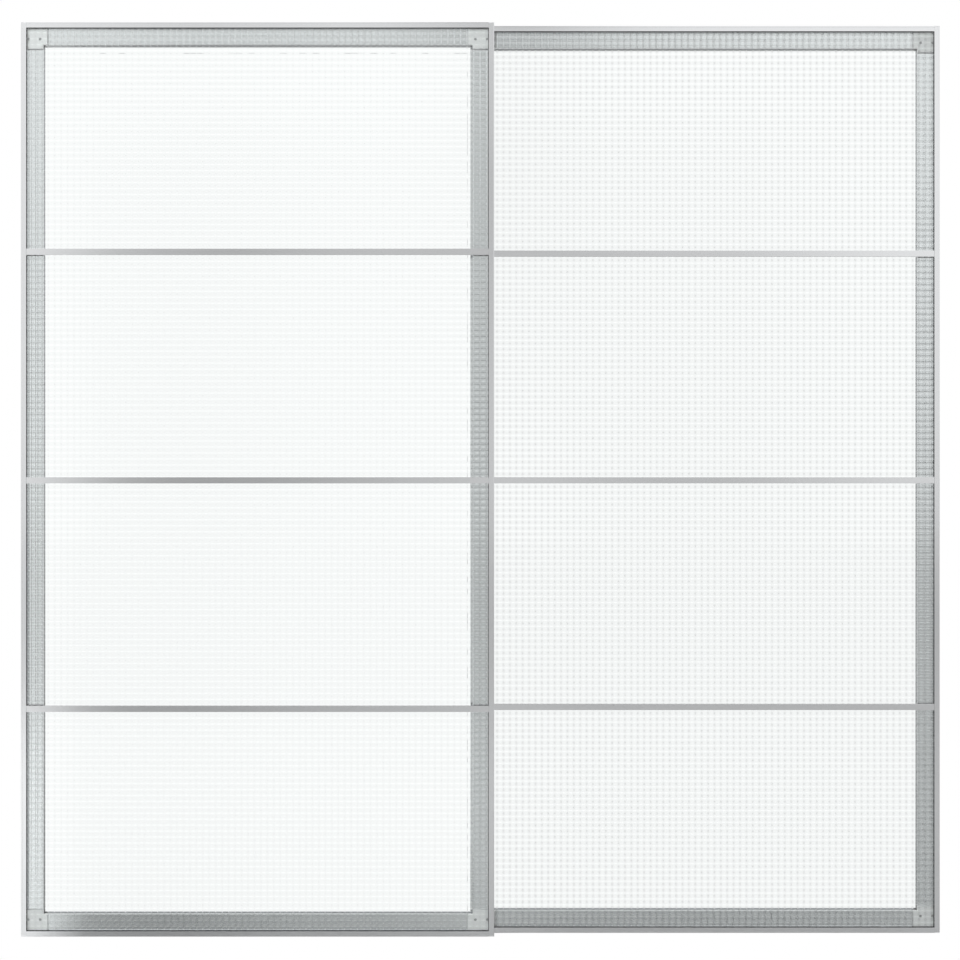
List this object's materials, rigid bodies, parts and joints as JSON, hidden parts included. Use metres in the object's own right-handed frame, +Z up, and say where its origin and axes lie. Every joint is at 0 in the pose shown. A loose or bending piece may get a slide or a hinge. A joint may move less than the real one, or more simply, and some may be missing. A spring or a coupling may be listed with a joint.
{
  "type": "sliding door pair",
  "caption": "Two bypass sliding doors with slim aluminium frames round stacked panes of grid-patterned glass, hung on grooved wheels from a top rail and guided in a bottom channel.",
  "frame": {"origin": "bottom centre of the whole closed set, midway in its width and depth, level with its lowest point", "axes": "+X along the rails to the right as seen from the front, +Y from the front to the back, +Z up"},
  "size_m": [2, 0.132, 1.9945],
  "materials": {
    "frame": "satin anodised extrusion",
    "glass": "clear glass with a moulded grid on its face",
    "seal": "matt black",
    "corner": "light grey moulding",
    "cap": "grey moulding",
    "plated_steel": "zinc plated",
    "screw": "plated",
    "wheel": "ground steel, a grooved ball-bearing wheel",
    "pin": "black nylon",
    "rail": "mill finish extrusion",
    "stop": "grey moulding",
    "buffer": "matt black"
  },
  "bodies": {
    "rails": {"guide_rail": "rail", "stop_buffers": "buffer", "stop_screws": "screw", "top_rail": "rail", "track_stops": "stop"},
    "front_door": {"front_door_axles": "plated_steel", "front_door_bottom_profile": "frame", "front_door_corner_bottom_left": "corner", "front_door_corner_bottom_right": "corner", "front_door_corner_screws": "screw", "front_door_corner_top_left": "corner", "front_door_corner_top_right": "corner", "front_door_glass_1": "glass", "front_door_glass_2": "glass", "front_door_glass_3": "glass", "front_door_glass_4": "glass", "front_door_guide_left": "plated_steel", "front_door_guide_pins": "pin", "front_door_guide_right": "plated_steel", "front_door_hanger_left": "plated_steel", "front_door_hanger_right": "plated_steel", "front_door_left_stile": "frame", "front_door_plate_screws": "screw", "front_door_right_stile": "frame", "front_door_seals": "seal", "front_door_stile_caps": "cap", "front_door_strip_1": "frame", "front_door_strip_2": "frame", "front_door_strip_3": "frame", "front_door_top_profile": "frame"},
    "rear_door": {"rear_door_axles": "plated_steel", "rear_door_bottom_profile": "frame", "rear_door_corner_bottom_left": "corner", "rear_door_corner_bottom_right": "corner", "rear_door_corner_screws": "screw", "rear_door_corner_top_left": "corner", "rear_door_corner_top_right": "corner", "rear_door_glass_1": "glass", "rear_door_glass_2": "glass", "rear_door_glass_3": "glass", "rear_door_glass_4": "glass", "rear_door_guide_left": "plated_steel", "rear_door_guide_pins": "pin", "rear_door_guide_right": "plated_steel", "rear_door_hanger_left": "plated_steel", "rear_door_hanger_right": "plated_steel", "rear_door_left_stile": "frame", "rear_door_plate_screws": "screw", "rear_door_right_stile": "frame", "rear_door_seals": "seal", "rear_door_stile_caps": "cap", "rear_door_strip_1": "frame", "rear_door_strip_2": "frame", "rear_door_strip_3": "frame", "rear_door_top_profile": "frame"},
    "front_door_left_wheel": {"front_door_wheel_left": "wheel"},
    "front_door_right_wheel": {"front_door_wheel_right": "wheel"},
    "rear_door_left_wheel": {"rear_door_wheel_left": "wheel"},
    "rear_door_right_wheel": {"rear_door_wheel_right": "wheel"}
  },
  "joints": [
    {"name": "front_door_slide", "type": "slide", "parent": "rails", "child": "front_door", "axis": [1, 0, 0], "range_m": [0, 0.974]},
    {"name": "rear_door_slide", "type": "slide", "parent": "rails", "child": "rear_door", "axis": [-1, 0, 0], "range_m": [0, 0.974]},
    {"name": "front_door_left_wheel_spin", "type": "hinge", "parent": "front_door", "child": "front_door_left_wheel", "pos_m": [-0.9, 0.054, 1.9767], "axis": [0, 1, 0], "continuous": true},
    {"name": "front_door_right_wheel_spin", "type": "hinge", "parent": "front_door", "child": "front_door_right_wheel", "pos_m": [-0.074, 0.054, 1.9767], "axis": [0, 1, 0], "continuous": true},
    {"name": "rear_door_left_wheel_spin", "type": "hinge", "parent": "rear_door", "child": "rear_door_left_wheel", "pos_m": [0.074, 0.026, 1.9767], "axis": [0, 1, 0], "continuous": true},
    {"name": "rear_door_right_wheel_spin", "type": "hinge", "parent": "rear_door", "child": "rear_door_right_wheel", "pos_m": [0.9, 0.026, 1.9767], "axis": [0, 1, 0], "continuous": true}
  ],
  "couplings": [
    {"joint": "front_door_left_wheel_spin", "follows": "front_door_slide", "rad_per_m": 117.65},
    {"joint": "front_door_right_wheel_spin", "follows": "front_door_slide", "rad_per_m": 117.65},
    {"joint": "rear_door_left_wheel_spin", "follows": "rear_door_slide", "rad_per_m": -117.65},
    {"joint": "rear_door_right_wheel_spin", "follows": "rear_door_slide", "rad_per_m": -117.65}
  ]
}
